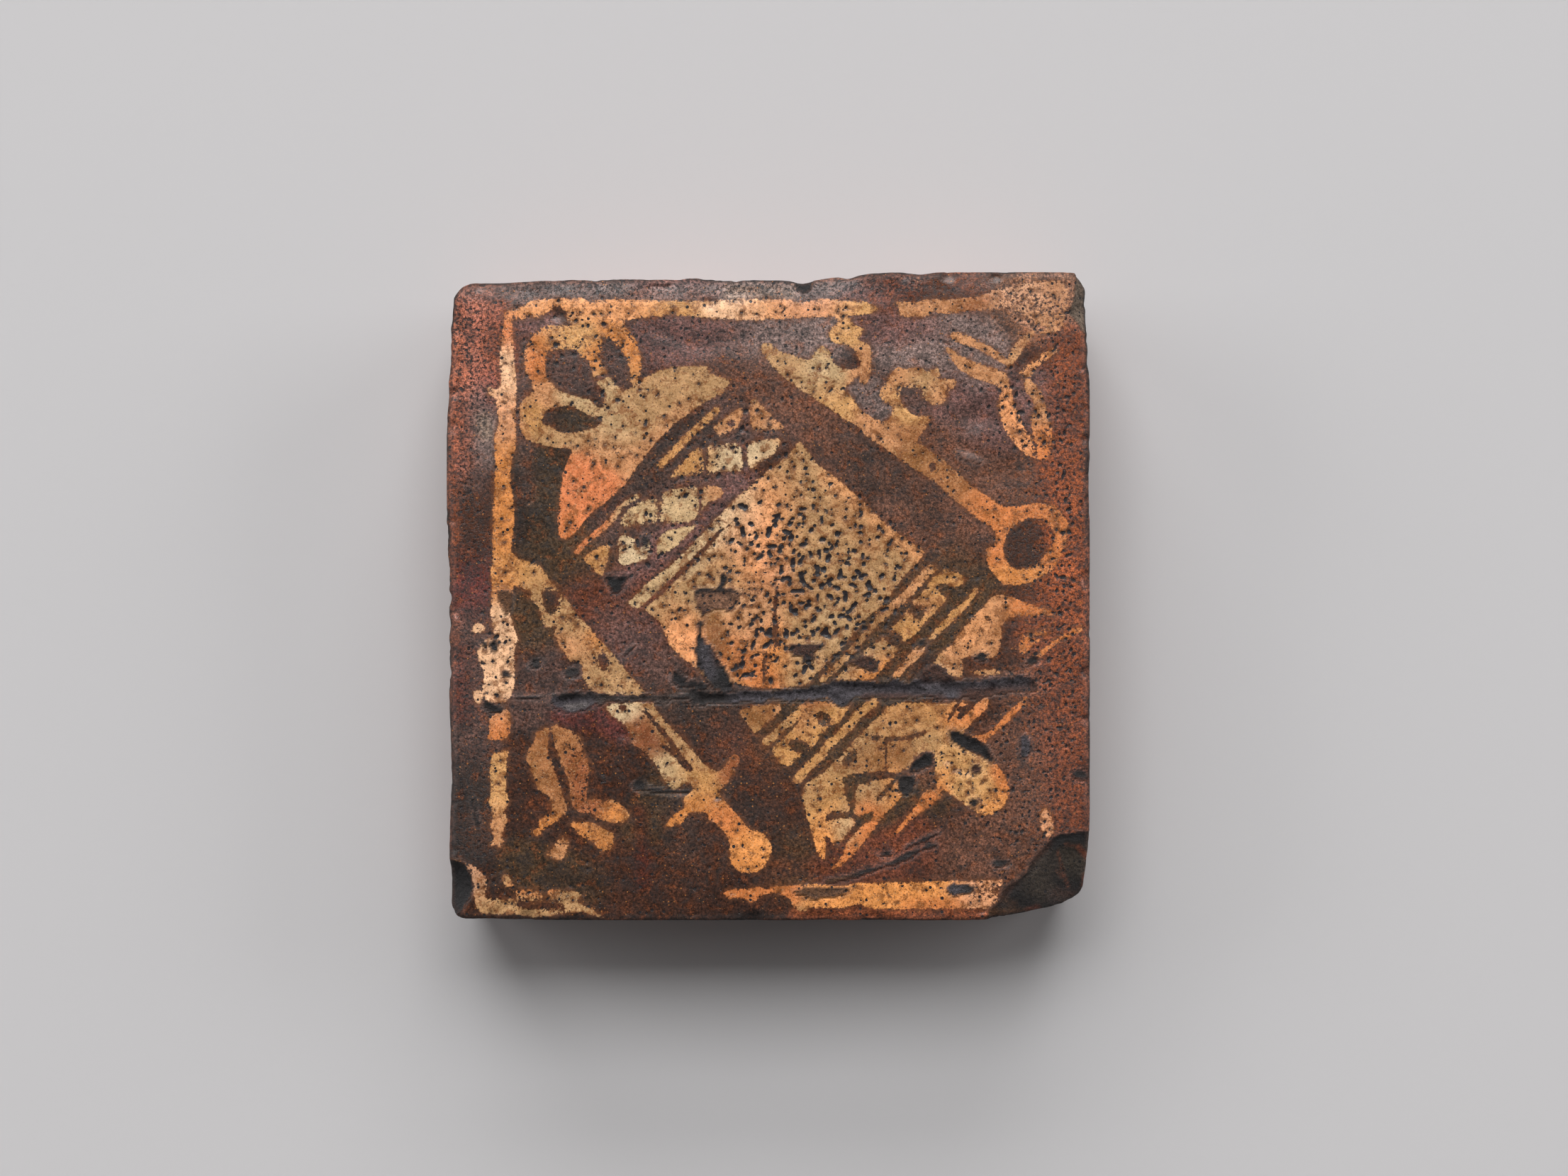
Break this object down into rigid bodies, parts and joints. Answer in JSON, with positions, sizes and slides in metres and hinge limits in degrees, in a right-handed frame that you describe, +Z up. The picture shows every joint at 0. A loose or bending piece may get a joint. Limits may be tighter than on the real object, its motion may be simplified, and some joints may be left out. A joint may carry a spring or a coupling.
{
  "type": "floor tile",
  "caption": "Square fired-clay floor tile: a thick slab with undercut sides and a glazed face inlaid with pale slip, worn, pitted and chipped.",
  "frame": {"origin": "middle of the bed face, which lies on the floor", "axes": "+Z up, out of the decorated face; +Y towards the top of the face as pictured; +X to its right"},
  "size_m": [0.1307, 0.1318, 0.027],
  "materials": {
    "glazed_clay": "satin"
  },
  "bodies": {
    "root": {"tile": "glazed_clay"}
  },
  "joints": []
}
